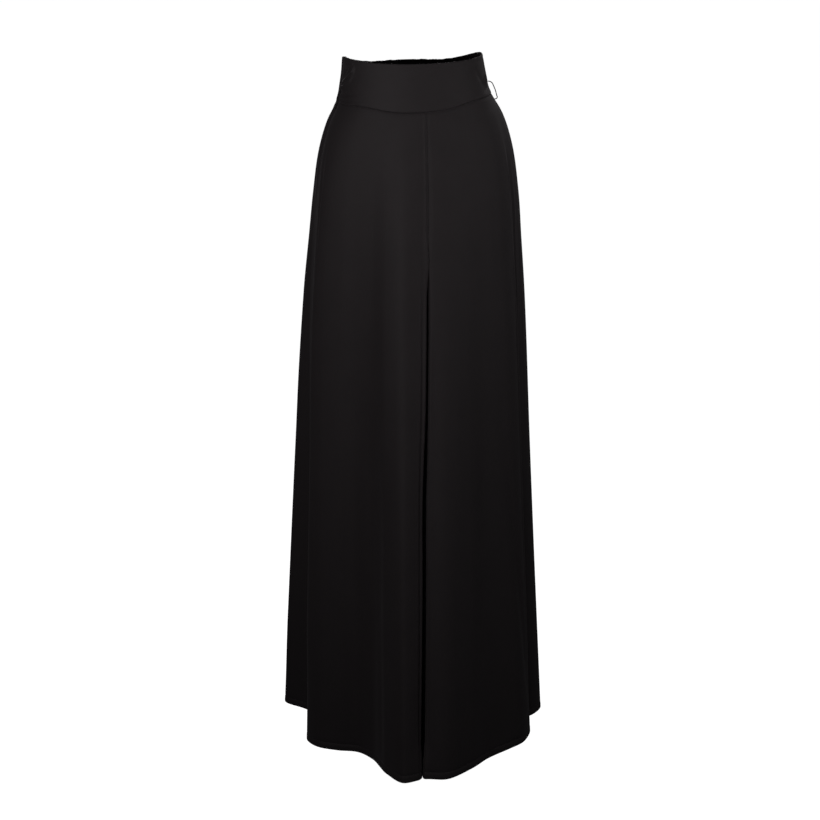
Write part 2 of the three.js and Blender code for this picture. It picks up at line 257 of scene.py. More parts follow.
def fold_share(z):
    """How much of its hem form a fold has at height z."""
    return np.clip(z / HEM, 0, 1) ** FOLD_GROWTH


def fold_point(side, fold, z):
    """Plan points of a fold line, which leaves the smooth ring on its way to the hem."""
    at_hem = ring_point(side, fold["turn"], HEM)
    way = np.array([fold["hem_x"], fold["hem_y"]]) - at_hem
    return ring_point(side, fold["turn"], z) + way * fold_share(z)[:, None]


def gap_middle(y, z):
    """The x of the middle of the gap between the legs, which sways from front to back."""
    sway = WALL_SWAY * fold_share(z) * smooth((CROTCH - z) / 200)
    return column(CENTRE, "middle", z) - sway * np.sin(2 * np.pi * y / SWAY_LENGTH)


def inner_points(leg, corner, z, part):
    """The stops of each row past its corner, from the corner to the centre seam or the inseam."""
    side, bend = leg["side"], leg["bend"]
    split = FRONT_SPLIT if part == "front" else BACK_SPLIT
    drop = np.clip((split - z) / (split - CROTCH), 0, 1)
    seam_y = lerp(INSEAM_TOP_Y, INSEAM_HEM_Y, smooth((CROTCH - z) / (CROTCH - HEM)))
    end_y = lerp(seam_y, corner[:, 1], np.sqrt(1 - drop * drop))
    reach = end_y - corner[:, 1]
    seam = ring_point(side, 0 if part == "front" else 180, z)
    seam[:, 0] = gap_middle(0, z) + side * SEAM_GAP / 2

    def inward(depth, most):
        return corner[:, 1] + np.sign(reach) * np.minimum(depth, np.abs(reach) * most)

    # Each has its share of the way along the closed seam, its y on the inner wall, and its added width there
    places = [
        (0.5, inward(bend["depth"], 0.15), bend["width"]), (0.67, inward(bend["shoulder"], 0.3), 0),
        (0.84, corner[:, 1] + reach * 0.6, 0), (1, end_y, 0),
    ]
    opened = smooth(drop / OPENED_AT)[:, None]
    stops = []
    for share, y, width in places:
        x = gap_middle(y, z) + side * (column(CENTRE, "half", z) + width)
        stops.append(lerp(lerp(corner, seam, share), np.stack([x, y], -1), opened))
    return stops


def curve_span(before, start, end, after, count):
    """count points from start towards end, on the centripetal curve through the four."""
    def knot(a, b):
        return np.sqrt(np.maximum(np.linalg.norm(b - a, axis=-1), 1e-8))[:, None]
    first, main, last = knot(before, start), knot(start, end), knot(end, after)
    out = (start - before) / first - (end - before) / (first + main) + (end - start) / main
    into = (end - start) / main - (after - start) / (main + last) + (after - end) / last
    out, into = out * main, into * main
    points = []
    for t in np.arange(count) / count:
        square = -3 * start + 3 * end - 2 * out - into
        cube = 2 * start - 2 * end + out + into
        points.append(start + out * t + square * t**2 + cube * t**3)
    return points


def row_points(stops, lifts, seam_stop):
    """Points of all rows on curves through their stops, with distances in folds, lifts and side seam."""
    spans = len(stops) - 1
    points, along, lift = [], [], []
    seam_column = 0
    for span in range(spans):
        a, b = stops[span], stops[span + 1]
        before = stops[span - 1] if span > 0 else 2 * a - b
        after = stops[span + 2] if span < spans - 1 else 2 * b - a
        from_end = min(span, spans - 1 - span)
        step = WALL_STEP if from_end < 2 else EDGE_STEP if from_end == 3 else COLUMN_STEP
        longest = np.linalg.norm(b - a, axis=-1).max()
        count = max(4, math.ceil(longest / step))
        if span == seam_stop:
            seam_column = len(points)
        points += curve_span(before, a, b, after, count)
        share = np.arange(count) / count
        along += list(span + share - seam_stop)
        lift += list(lerp(lifts[span], lifts[span + 1], share))
    points.append(stops[-1])
    along.append(spans - seam_stop)
    lift.append(0)
    return np.stack(points, 1), np.array(along), np.array(lift), seam_column


def keep_side(plan, outward, side, z):
    """Moves the points of a leg that would come too near the middle of the gap, or past it."""
    heights = z[:, None] + np.zeros_like(plan[..., 0])
    half = column(CENTRE, "half", z)[:, None]
    nearest = half - (CLOTH / 2 + SEAM_EASE) * (1 - np.abs(outward[..., 0]))
    middle = gap_middle(plan[..., 1], heights)
    plan[..., 0] = middle + side * np.maximum(side * (plan[..., 0] - middle), nearest)
    # Down to the foot of the crotch seam the legs meet, and the gap narrows as the seam turns into the wall
    joined = z > SEAM_FOOT
    for end in (0, -1):
        across = np.abs(outward[:, end, 0])
        gap = SEAM_GAP * (1 - 0.9 * smooth(3 * across))
        meeting = middle[:, end] + side * (gap / 2 + CLOTH / 2 * across)
        plan[joined, end, 0] = meeting[joined]


def leg_surface(leg, z):
    """A leg's middle surface at heights z: plan points, outward ways, distances in folds, lifts, seam."""
    side = leg["side"]
    folds = {part: [dict(zip(FOLD_COLUMNS, row)) for row in leg[part]] for part in ("front", "back")}
    front = [fold_point(side, fold, z) for fold in folds["front"]]
    back = [fold_point(side, fold, z) for fold in folds["back"]]
    inner_front = inner_points(leg, front[-1], z, "front")
    inner_back = inner_points(leg, back[-1], z, "back")
    stops = inner_front[::-1] + front[::-1] + back[1:] + inner_back
    lifts = [fold["lift"] for fold in folds["front"][::-1] + folds["back"][1:]]
    lifts = [0] * len(inner_front) + lifts + [0] * len(inner_back)
    plan, along, lift, seam = row_points(stops, lifts, len(inner_front) + len(front) - 1)
    way = np.gradient(plan, axis=1)
    way /= np.maximum(np.linalg.norm(way, axis=-1, keepdims=True), 1e-9)
    outward = np.stack([way[..., 1], -way[..., 0]], -1) * side
    # Under the crotch both ends of a row lie on the inner wall
    for end in (0, -1):
        outward[z <= CROTCH, end] = (-side, 0)
    keep_side(plan, outward, side, z)
    return plan, outward, along, lift, seam


def arc_length(plan):
    """Distance along each row from its first column, in millimetres."""
    steps = np.linalg.norm(np.diff(plan, axis=1), axis=-1)
    return np.concatenate([np.zeros((len(plan), 1)), np.cumsum(steps, axis=1)], axis=1)


def shell(name, middle, outward, raise_out, thickness, weave, turned=None, flip=False):
    """A closed thin shell round a grid of points. turned moves its inner face further in, as at a hem."""
    rows, columns = middle.shape[:2]
    out = np.concatenate([outward, np.zeros((rows, columns, 1))], -1)
    raised = middle + out * raise_out[..., None]
    inner_off = thickness / 2 + (turned if turned is not None else 0)
    outer = raised + out * (thickness / 2 + np.zeros((rows, columns)))[..., None]
    inner = raised - out * (inner_off + np.zeros((rows, columns)))[..., None]
    vertices = np.concatenate([outer.reshape(-1, 3), inner.reshape(-1, 3)]) * MM
    grid = np.arange(rows * columns).reshape(rows, columns)
    back = grid + rows * columns
    faces = []

    def quads(a, b, c, d):
        block = np.stack([a.ravel(), b.ravel(), c.ravel(), d.ravel()], -1)
        faces.append(block[:, ::-1] if flip else block)

    quads(grid[:-1, :-1], grid[1:, :-1], grid[1:, 1:], grid[:-1, 1:])
    quads(back[:-1, :-1], back[:-1, 1:], back[1:, 1:], back[1:, :-1])
    quads(grid[:-1, 0], back[:-1, 0], back[1:, 0], grid[1:, 0])
    quads(grid[:-1, -1], grid[1:, -1], back[1:, -1], back[:-1, -1])
    quads(grid[0, :-1], grid[0, 1:], back[0, 1:], back[0, :-1])
    quads(grid[-1, :-1], back[-1, :-1], back[-1, 1:], grid[-1, 1:])
    mesh = bpy.data.meshes.new(name)
    mesh.from_pydata(vertices.tolist(), [], np.concatenate(faces).tolist())
    mesh.polygons.foreach_set("use_smooth", np.ones(len(mesh.polygons), bool))
    store = mesh.attributes.new("weave", "FLOAT_VECTOR", "POINT")
    both = np.concatenate([weave.reshape(-1, 2), weave.reshape(-1, 2)]) * MM
    store.data.foreach_set("vector", np.column_stack([both, np.zeros(len(both))]).ravel())
    mesh.set_sharp_from_angle(angle=SHARP_ANGLE)
    mesh.update()
    piece = bpy.data.objects.new(name, mesh)
    bpy.context.collection.objects.link(piece)
    return piece


def ridge(distance, width):
    """A soft ridge's share of its height at a distance across it."""
    return np.exp(-((distance / width) ** 2))


def crease(u, v, path, width, height):
    """A soft crease along a path of (u, v) points in millimetres, tapering at both ends."""
    total = np.zeros_like(u)
    for k in range(len(path) - 1):
        a, b = np.array(path[k], float), np.array(path[k + 1], float)
        way = b - a
        t = np.clip(((u - a[0]) * way[0] + (v - a[1]) * way[1]) / way.dot(way), 0, 1)
        away = np.hypot(u - a[0] - t * way[0], v - a[1] - t * way[1])
        share = (k + t) / (len(path) - 1)
        taper = np.sin(np.pi * np.clip(share, 0.04, 0.96)) ** 0.6
        total = np.maximum(total, ridge(away, width) * taper)
    return height * total


def gather(along, z, top):
    """Main gathers of the elastic back, one at each fold line, as high as top at the waist seam."""
    ends = smooth((along - 0.15) / 0.6) * smooth((BACK_FOLDS - along) / 0.5)
    fade = 1 - smooth(-z / GATHER_FADE)
    uneven = 1 + 0.3 * np.sin(along * 2.9)
    return top * ends * fade * uneven * np.cos(along * 2 * np.pi)


def band_gather(along, z):
    """Gathers of the waistband's back. The tops of the legs share their form at the seam."""
    drift = along * GATHERS_PER_FOLD + 0.35 * np.sin(along * 4.1) + 0.16 * np.sin(z / 17 + along * 2)
    ends = smooth(along / 0.4) * smooth((BACK_FOLDS - along) / 0.1)
    return gather(along, 0 * z, BAND_GATHER) + SMALL_BAND_GATHER * ends * np.sin(2 * np.pi * drift)


def fine_gather(along, z, top):
    """Smaller gathers between the main ones, uneven in spacing and length."""
    ends = smooth(along / 0.4) * smooth((BACK_FOLDS - along) / 0.4)
    drift = along * GATHERS_PER_FOLD + 0.35 * np.sin(along * 4.1) + 0.2 * np.sin(along * 9.7)
    reach = 60 + 45 * np.sin(along * 5.3) ** 2
    fade = 1 - smooth(-z / reach)
    return top * ends * fade * np.sin(2 * np.pi * drift)


def drape(s, z, seed):
    """Slow unevenness of hanging cloth: long upright waves that drift sideways."""
    total = np.zeros_like(s)
    for k, (length, height) in enumerate(DRAPE_WAVES):
        phase = seed * (1.7 + k)
        bend = 14 * np.sin(z / (170 + 40 * k) + phase)
        strength = 0.6 + 0.4 * np.sin(z / (260 - 30 * k) + 2 * phase)
        total += height * strength * np.sin(2 * np.pi * (s + bend) / length + phase)
    return total


# Creases of the legs. Each has its distance in folds from the side seam at its top and at its foot, the
# heights of both, and its width and height. inner is its width toward the centre, where that differs.
LEG_CREASES = {
    "right": {
        "front": [
            {"start": 2.05, "end": 2.0, "top": -20, "foot": -985, "width": 4.5, "inner": 20, "height": 3.2},
            {"start": 1.55, "end": 1.35, "top": -40, "foot": -480, "width": 4.5, "height": -2.6},
            {"start": 2.8, "end": 3.1, "top": -380, "foot": -900, "width": 11, "height": 0.7},
            {"start": 4.3, "end": 4.6, "top": -330, "foot": -790, "width": 14, "height": -0.8},
            {"start": 5.5, "end": 5.7, "top": -480, "foot": -1040, "width": 14, "inner": 10, "height": 1.5},
            {"start": 6.5, "end": 6.7, "top": -480, "foot": -1040, "width": 10, "height": -1.5},
            {"start": 8.1, "end": 8.0, "top": -470, "foot": -980, "width": 9, "height": 0.8},
            {"start": 6.9, "end": 7.1, "top": -240, "foot": -560, "width": 12, "height": 0.7},
            {"start": 9.62, "end": 9.5, "top": -150, "foot": -1040, "width": 2.6, "height": -3.2},
            {"start": 9.96, "end": 9.96, "top": -150, "foot": -600, "width": 1.5, "height": 0.9},
        ],
        "back": [
            {"start": 1.1, "end": 1.0, "top": -230, "foot": -800, "width": 8, "height": -1.1},
            {"start": 2.1, "end": 2.0, "top": -300, "foot": -985, "width": 9, "height": 1.4},
            {"start": 3.9, "end": 4.1, "top": -160, "foot": -900, "width": 12, "height": -1.2},
            {"start": 5.0, "end": 5.0, "top": -210, "foot": -960, "width": 10, "height": 1.1},
            {"start": 6.4, "end": 6.1, "top": -330, "foot": -860, "width": 11, "height": -0.9},
        ],
    },
    "left": {
        "front": [
            {"start": 3.0, "end": 3.0, "top": -60, "foot": -985, "width": 6, "height": 1.4},
            {"start": 2.35, "end": 2.15, "top": -35, "foot": -430, "width": 3.4, "height": -1.5},
            {"start": 2.75, "end": 2.6, "top": -60, "foot": -300, "width": 2.6, "height": 1.0},
            {"start": 3.15, "end": 3.3, "top": -230, "foot": -940, "width": 2.4, "height": -2.0},
            {"start": 1.75, "end": 1.55, "top": -50, "foot": -560, "width": 3.4, "height": 1.8},
            {"start": 1.15, "end": 1.05, "top": -110, "foot": -640, "width": 4.5, "height": -1.0},
            {"start": 2.0, "end": 2.0, "top": -250, "foot": -985, "width": 8, "height": -1.8},
            {"start": 4.6, "end": 3.2, "top": -480, "foot": -985, "width": 11, "height": -2.4},
            {"start": 6.1, "end": 6.4, "top": -420, "foot": -900, "width": 14, "height": -0.8},
            {"start": 7.6, "end": 7.3, "top": -640, "foot": -970, "width": 12, "height": -0.8},
            {"start": 8.2, "end": 8.3, "top": -260, "foot": -700, "width": 10, "height": 0.8},
            {"start": 9.9, "end": 9.9, "top": -215, "foot": -700, "width": 1.6, "height": 0.6},
        ],
        "back": [
            {"start": 1.0, "end": 1.1, "top": -150, "foot": -960, "width": 9, "height": 1.1},
            {"start": 2.0, "end": 2.0, "top": -240, "foot": -970, "width": 9, "height": -1.4},
            {"start": 3.1, "end": 3.0, "top": -190, "foot": -930, "width": 11, "height": 1.3},
            {"start": 5.1, "end": 4.9, "top": -280, "foot": -980, "width": 10, "height": 1.1},
            {"start": 5.9, "end": 6.1, "top": -150, "foot": -820, "width": 12, "height": -1.0},
        ],
    },
}

# Creases of the waistband's front: paths of (distance from the centre front, height), width and height
BAND_CREASES = [
    {"path": [(-110, 68), (-104, 61), (-106, 55), (-118, 46), (-129, 39), (-145, 31)],
     "width": 1.9, "height": 3.6},
    {"path": [(-108, 52), (-118, 43.5), (-130, 36), (-142, 30)], "width": 1.0, "height": -1.4},
    {"path": [(-106, 51), (-114, 42), (-128, 33.5), (-146, 27)], "width": 1.8, "height": 2.7},
    {"path": [(-117, 63), (-123, 57), (-132, 48)], "width": 3.0, "height": -2.8},
    {"path": [(-133, 71), (-127, 64), (-129, 56)], "width": 1.6, "height": 1.3},
    {"path": [(-147, 27), (-137, 27), (-130, 26), (-124, 21)], "width": 1.7, "height": 2.4},
    {"path": [(-150, 19), (-138, 18), (-127, 19), (-104, 21)], "width": 2.0, "height": -2.6},
    {"path": [(-151, 14), (-138, 14), (-124, 15), (-106, 17)], "width": 1.6, "height": 0.9},
    {"path": [(-151, 8), (-138, 10), (-124, 11.5), (-100, 13)], "width": 1.8, "height": -2.3},
    {"path": [(-98, 40), (-86, 36), (-70, 37)], "width": 3.6, "height": -0.5},
    {"path": [(124, 48), (118, 42), (115, 36), (120, 29)], "width": 3.0, "height": 2.6},
    {"path": [(92, 54), (97, 47), (103, 39), (108, 29)], "width": 4.2, "height": -1.0},
    {"path": [(140, 27), (130, 24), (121, 23), (110, 22)], "width": 2.4, "height": -2.0},
    {"path": [(147, 18), (136, 14), (124, 13)], "width": 2.4, "height": 0.7},
    {"path": [(98, 56), (80, 52), (58, 54)], "width": 5.0, "height": -0.4},
    {"path": [(-96, 30), (-70, 26), (-44, 27)], "width": 6.0, "height": 0.4},
    {"path": [(30, 22), (52, 18), (80, 20)], "width": 5.0, "height": 0.4},
]


def leg_rows():
    """Heights of the rows of a leg's points, from the waist seam down to the hem."""
    count = round(-HEM / ROW_STEP)
    even = -SEAM_GAP + (HEM + SEAM_GAP) * np.linspace(0, 1, count + 1)
    near_edges = [HEM + np.array(HEM_ROWS), -SEAM_GAP - np.array(WAIST_ROWS)]
    z = np.unique(np.concatenate([even, *near_edges]))[::-1]
    return z[np.concatenate([[True], np.abs(np.diff(z)) > CLOSEST_ROWS])]


def leg_relief(name, part, heights, folds_in, from_seam, far):
    """How far a leg panel stands out from its middle surface: slow waves, gathers and creases."""
    leg = LEGS[name]
    raised = drape(from_seam, heights, leg["seed"] + (BACK_SEED if part == "back" else 0))
    raised *= lerp(0.25, 1, smooth(-heights / DRAPE_DROP)) * smooth(-heights / DRAPE_TOP)
    raised *= smooth(from_seam / DRAPE_SIDE) * smooth(far / DRAPE_CENTRE)
    raised *= lerp(0.3, 1, smooth(len(leg[part]) - folds_in))
    if part == "back":
        gathered = gather(folds_in, heights, LEG_GATHER) + fine_gather(folds_in, heights, SMALL_LEG_GATHER)
        raised += lerp(band_gather(folds_in, 0 * heights), gathered, smooth(-heights / GATHER_BLEND))
    fold_width = np.gradient(from_seam, axis=1) / np.maximum(np.abs(np.gradient(folds_in, axis=1)), 1e-6)
    for fold in LEG_CREASES[name][part]:
        share = (fold["top"] - heights) / (fold["top"] - fold["foot"])
        centre = lerp(fold["start"], fold["end"], np.clip(share, 0, 1))
        ends = smooth(share / 0.25) * smooth((1 - share) / 0.2)
        width = np.where(folds_in > centre, fold.get("inner", fold["width"]), fold["width"])
        raised += fold["height"] * ends * ridge((folds_in - centre) * np.abs(fold_width), width)
    return raised


def leg_seams(name, part, heights, folds_in, from_seam, far, outward):
    """What the seams, the gap between the legs and the top of the hem add to a leg panel's relief."""
    raised = -SEAM_DITCH * ridge(from_seam, SEAM_DITCH_WIDTH)
    sunk = np.where(heights > SEAM_FOOT, np.clip(1.25 - 2.5 * np.abs(outward[..., 0]), 0, 1), 1)
    raised -= SEAM_DITCH * sunk * ridge(far, SEAM_DITCH_WIDTH)
    opening = GAP_OPENING * smooth((GAP_OPENING_FROM - heights) / GAP_OPENING_LENGTH)
    if part == "front":
        opening -= GAP_CLOSING * smooth((GAP_CLOSING_FROM - heights) / GAP_CLOSING_LENGTH)
    from_corner = len(LEGS[name][part]) - folds_in
    raised -= opening * smooth((GAP_OPENING_FOLDS - from_corner) / (GAP_OPENING_FOLDS / 2))
    if (name, part) == ("right", "front"):
        upper = smooth((heights - SEAM_RIDGE_FOOT) / SEAM_RIDGE_FADE)
        raised += SEAM_RIDGE * upper * ridge(far - SEAM_RIDGE_AT, SEAM_RIDGE_WIDTH)
    raised -= WAIST_DITCH * ridge(heights + SEAM_GAP, WAIST_DITCH_WIDTH)
    raised += WAIST_SWELL * ridge(heights + WAIST_SWELL_AT, WAIST_SWELL_WIDTH)
    above_hem = heights - HEM
    raised -= HEM_GROOVE * ridge(above_hem - HEM_DEPTH, HEM_GROOVE_WIDTH)
    raised += HEM_SWELL * smooth((HEM_DEPTH - above_hem) / HEM_SWELL_FADE)
    return raised


def leg_panel(name, part):
    """The cloth of a leg's front or back, and the line of its hem stitches."""
    leg = LEGS[name]
    z = leg_rows()
    plan, outward, along, lift, seam = leg_surface(leg, z)
    cut = slice(0, seam + 1) if part == "front" else slice(seam, None)
    plan, outward, along, lift = plan[:, cut], outward[:, cut], along[cut], lift[cut]
    across = arc_length(plan)
    from_seam = across[:, -1:] - across if part == "front" else across
    far = across.max(1, keepdims=True) - from_seam
    heights = z[:, None] + np.zeros_like(across)
    folds_in = np.abs(along)[None, :] + np.zeros_like(across)
    raised = leg_relief(name, part, heights, folds_in, from_seam, far)
    raised += leg_seams(name, part, heights, folds_in, from_seam, far, outward)

    above_hem = heights - HEM
    rounding = np.clip((HEM_ROUNDING - above_hem) / HEM_ROUNDING, 0, 1)
    thickness = CLOTH * (1 - 0.55 * rounding**2)
    turned = HEM_EXTRA * smooth((HEM_DEPTH + HEM_ROUNDING / 2 - above_hem) / HEM_ROUNDING)
    turned -= 0.5 * rounding**2

    lifted = heights + lift[None, :] * (heights / HEM) ** 2
    lifted = lifted + seam_lift(plan[..., 0], plan[..., 1]) * smooth(1 + lifted / TILT_FADE)
    middle = np.concatenate([plan, lifted[..., None]], -1)
    weave = np.stack([from_seam, heights], -1)
    piece = shell(f"{name}_leg_{part}_cloth", middle, outward, raised, thickness, weave, turned,
                  flip=leg["side"] < 0)
    out = np.concatenate([outward, np.zeros_like(lifted)[..., None]], -1)
    row = int(np.argmin(np.abs(z - HEM - HEM_DEPTH)))
    hem_line = middle[row] + out[row] * (raised[row] + CLOTH / 2 + STITCH_LIFT)[:, None]
    return piece, hem_line


def mesh_piece(name, vertices, faces):
    """A smooth piece from points in millimetres."""
    mesh = bpy.data.meshes.new(name)
    mesh.from_pydata((np.array(vertices) * MM).tolist(), [], faces)
    mesh.polygons.foreach_set("use_smooth", np.ones(len(mesh.polygons), bool))
    mesh.update()
    piece = bpy.data.objects.new(name, mesh)
    bpy.context.collection.objects.link(piece)
    return piece


def stitches(name, line):
    """Short stitches of thread along a line of points, joined in one mesh."""
    vertices, faces = [], []
    length = np.concatenate([[0], np.cumsum(np.linalg.norm(np.diff(line, axis=0), axis=1))])
    for start in np.arange(STITCH_PITCH, length[-1] - STITCH_PITCH, STITCH_PITCH):
        stops = start + STITCH_LENGTH * np.array([0, 0.5, 1])
        path = np.stack([np.interp(stops, length, line[:, k]) for k in range(3)], -1)
        way = path[-1] - path[0]
        side = np.cross(way, (0, 0, 1))
        side /= np.linalg.norm(side)
        base = len(vertices)
        for point, size in zip(path, STITCH_TAPER):
            for across, over in ((1, 0), (0, 1), (-1, 0), (0, -1)):
                vertices.append(point + STITCH_RADIUS * size * (across * side + over * np.array([0, 0, 1])))
        for k in (0, 4):
            for c in range(4):
                a, b = base + k + c, base + k + (c + 1) % 4
                faces.append((a, b, b + 4, a + 4))
        faces.append((base, base + 3, base + 2, base + 1))
        faces.append((base + 8, base + 9, base + 10, base + 11))
    return mesh_piece(name, vertices, faces)


def band_grid(part, z):
    """Middle surface of one half of the waistband at heights z, its outward ways and distances in folds."""
    round_at = np.linspace(-90, 90, BAND_COLUMNS[part] + 1)
    side = np.where(round_at < 0, -1, 1)
    turn = np.abs(round_at) if part == "front" else 180 - np.abs(round_at)
    plan = np.stack([ring_point(s, t, z) for s, t in zip(side, turn)], 1)
    way = np.gradient(plan, axis=1)
    way /= np.linalg.norm(way, axis=-1, keepdims=True)
    toward = 1 if part == "front" else -1
    outward = np.stack([way[..., 1], -way[..., 0]], -1) * toward
    for end, end_side in ((0, -1), (-1, 1)):
        plan[:, end, 1] -= toward * SEAM_GAP / 2
        outward[:, end] = (end_side, 0)
    along = np.zeros_like(turn)
    if part == "back":
        for leg in LEGS.values():
            turns = [row[0] for row in leg["back"]] + [180]
            stops = list(range(BACK_FOLDS + 1)) + [BACK_FOLDS + 4]
            along = np.where(side == leg["side"], np.interp(turn, turns, stops), along)
    return plan, outward, along


def waistband(part):
    """The front or back half of the waistband."""
    rows = np.unique(np.concatenate([np.linspace(0, BAND_TOP, BAND_ROWS), BAND_EDGE_ROWS]))[::-1]
    plan, outward, along = band_grid(part, rows)
    across = arc_length(plan)
    from_centre = across - across[:, -1:] / 2
    heights = rows[:, None] + np.zeros_like(across)
    folds_in = along[None, :] + np.zeros_like(across)
    share = heights / BAND_TOP
    lift = seam_lift(plan[..., 0], plan[..., 1]) * (1 - share)
    if part == "front":
        raised = 0.25 * np.sin(from_centre / 31 + heights / 24)
        raised += 0.12 * np.sin(from_centre / 13 - heights / 15)
        for fold in BAND_CREASES:
            raised += crease(from_centre, heights + lift, fold["path"], fold["width"], fold["height"])
        raised -= FACING_LINE * ridge(heights - FACING_HEIGHT, FACING_WIDTH)
    else:
        raised = band_gather(folds_in, heights)
    from_end = np.minimum(across, across[:, -1:] - across)
    raised -= SEAM_DITCH * ridge(from_end, SEAM_DITCH_WIDTH)
    raised -= WAIST_DITCH * ridge(heights, BAND_DITCH_WIDTH)
    drop = BACK_DROP * share * smooth(1.3 * folds_in / BACK_FOLDS)
    edge = np.minimum(heights, BAND_TOP - heights)
    rounding = np.clip((BAND_ROUNDING - edge) / BAND_ROUNDING, 0, 1)
    thickness = BAND_CLOTH * (1 - 0.6 * rounding**2)
    middle = np.concatenate([plan, (heights + lift - drop)[..., None]], -1)
    weave = np.stack([from_centre, heights], -1)
    return shell(f"waistband_{part}_cloth", middle, outward, raised, thickness, weave, flip=part == "front")


# Belt loops: the free space behind each, and its ends above and below the waist seam
LOOPS = {
    "right": {"clearance": 1.2, "top": 16, "foot": -11},
    "left": {"clearance": 5.6, "top": 16, "foot": -11},
}
LOOP_RADIUS = 1
LOOP_SEAM_GAP = 0.7
LOOP_BULGE = 0.8
LOOP_POINTS = 150
SPAN_POINTS = 24
PLAIT_WIDTH = 0.62
PLAIT_DEPTH = 0.34
PLAIT_PITCH = 5.0
STRAND_RADIUS = 0.42
STRAND_SIDES = 8
OFF_STRANDS = (0.02, 1.0, 0.03)


def strand_mesh(name, paths):
    """Round strands of thread along paths of points, joined in one mesh with closed ends."""
    vertices, faces = [], []
    for path in paths:
        path = np.array(path)
        tangent = np.gradient(path, axis=0)
        tangent /= np.linalg.norm(tangent, axis=1, keepdims=True)
        across = np.cross(tangent, OFF_STRANDS)
        across /= np.linalg.norm(across, axis=1, keepdims=True)
        other = np.cross(tangent, across)
        base = len(vertices)
        for k, point in enumerate(path):
            size = STRAND_RADIUS * (0.55 if k in (0, len(path) - 1) else 1)
            for angle in np.arange(STRAND_SIDES) * 2 * np.pi / STRAND_SIDES:
                vertices.append(point + size * (math.cos(angle) * across[k] + math.sin(angle) * other[k]))
        for k in range(len(path) - 1):
            for s in range(STRAND_SIDES):
                a = base + k * STRAND_SIDES + s
                b = base + k * STRAND_SIDES + (s + 1) % STRAND_SIDES
                faces.append((a, b, b + STRAND_SIDES, a + STRAND_SIDES))
        faces.append(tuple(base + s for s in range(STRAND_SIDES))[::-1])
        last = base + (len(path) - 1) * STRAND_SIDES
        faces.append(tuple(last + s for s in range(STRAND_SIDES)))
    return mesh_piece(name, vertices, faces)


def smooth_path(points, count):
    """count points spread evenly on a smooth curve through the given ones."""
    points = np.array(points, float)
    padded = np.concatenate([[2 * points[0] - points[1]], points, [2 * points[-1] - points[-2]]])
    dense = []
    for i in range(len(points) - 1):
        dense += [p[0] for p in curve_span(*[padded[i + k][None] for k in range(4)], SPAN_POINTS)]
    dense = np.array(dense + [points[-1]])
    length = np.concatenate([[0], np.cumsum(np.linalg.norm(np.diff(dense, axis=0), axis=1))])
    at = np.linspace(0, length[-1], count)
    return np.stack([np.interp(at, length, dense[:, k]) for k in range(3)], -1), length[-1]


def belt_loop(name):
    """A plaited thread loop over the side seam."""
    loop = LOOPS[name]
    top, foot = loop["top"], loop["foot"]
    leg = LEGS[name]
    off = loop["clearance"] + LOOP_RADIUS
    near = LOOP_SEAM_GAP + LOOP_RADIUS
    bend = max(off * 0.8, LOOP_SEAM_GAP + 1.3 * LOOP_RADIUS)
    fold = dict(zip(FOLD_COLUMNS, leg["front"][0]))

    def stop(z, distance):
        thickness = CLOTH if z < 0 else BAND_CLOTH
        x, y = fold_point(leg["side"], fold, np.array([float(z)]))[0]
        x += leg["side"] * (thickness / 2 + distance)
        return (x, y, z + seam_lift(x, y))

    stops = [
        stop(top, 0.1), stop(top, near), stop(top - 2, bend), stop(top - 6, off),
        stop((top + foot) / 2, off + LOOP_BULGE),
        stop(foot + 6, off), stop(foot + 2, bend), stop(foot, near), stop(foot, 0.1),
    ]
    path, length = smooth_path(stops, LOOP_POINTS)
    tangent = np.gradient(path, axis=0)
    tangent /= np.linalg.norm(tangent, axis=1, keepdims=True)
    wide = np.array([0.0, 1.0, 0.0])
    deep = np.cross(tangent, wide)
    deep /= np.linalg.norm(deep, axis=1, keepdims=True)
    strands = []
    for k in range(3):
        phase = np.linspace(0, length, len(path)) / PLAIT_PITCH * 2 * np.pi + k * 2 * np.pi / 3
        sideways = PLAIT_WIDTH * np.sin(phase)[:, None] * wide
        strands.append(path + sideways + PLAIT_DEPTH * np.sin(2 * phase)[:, None] * deep)
    return strand_mesh(f"{name}_belt_loop_plait", strands)


# Dark and light tones of the cloth, the thread and the floor
LEG_TONES = ((0.0105, 0.0082, 0.0089), (0.018, 0.0145, 0.0156))
BAND_TONES = ((0.0108, 0.0085, 0.0092), (0.0185, 0.015, 0.0161))
THREAD_TONES = ((0.008, 0.0075, 0.008), (0.02, 0.019, 0.02))
FLOOR_TONES = ((0.5, 0.5, 0.5), (0.53, 0.53, 0.53))


def new_material(name):
    """A material with its shader and the means to add nodes to it."""
    material = bpy.data.materials.new(name)
    material.use_nodes = True
    tree = material.node_tree
    return material, tree.nodes["Principled BSDF"], tree.nodes, tree.links


def noise_node(nodes, links, source, scale, detail, roughness=0.5):
    node = nodes.new("ShaderNodeTexNoise")
    node.inputs["Scale"].default_value = scale
    node.inputs["Detail"].default_value = detail
    node.inputs["Roughness"].default_value = roughness
    links.new(source, node.inputs["Vector"])
    return node.outputs["Fac"]


def thread_waves(nodes, links, source, direction, scale, distortion):
    """Bands of threads that run one way through the weave."""
    node = nodes.new("ShaderNodeTexWave")
    node.wave_type = "BANDS"
    node.bands_direction = direction
    node.inputs["Scale"].default_value = scale
    node.inputs["Distortion"].default_value = distortion
    node.inputs["Detail"].default_value = 1
    links.new(source, node.inputs["Vector"])
    return node.outputs["Fac"]


def map_range(nodes, links, source, low, high, to_low, to_high):
    node = nodes.new("ShaderNodeMapRange")
    node.inputs["From Min"].default_value = low
    node.inputs["From Max"].default_value = high
    node.inputs["To Min"].default_value = to_low
    node.inputs["To Max"].default_value = to_high
    links.new(source, node.inputs["Value"])
    return node.outputs["Result"]


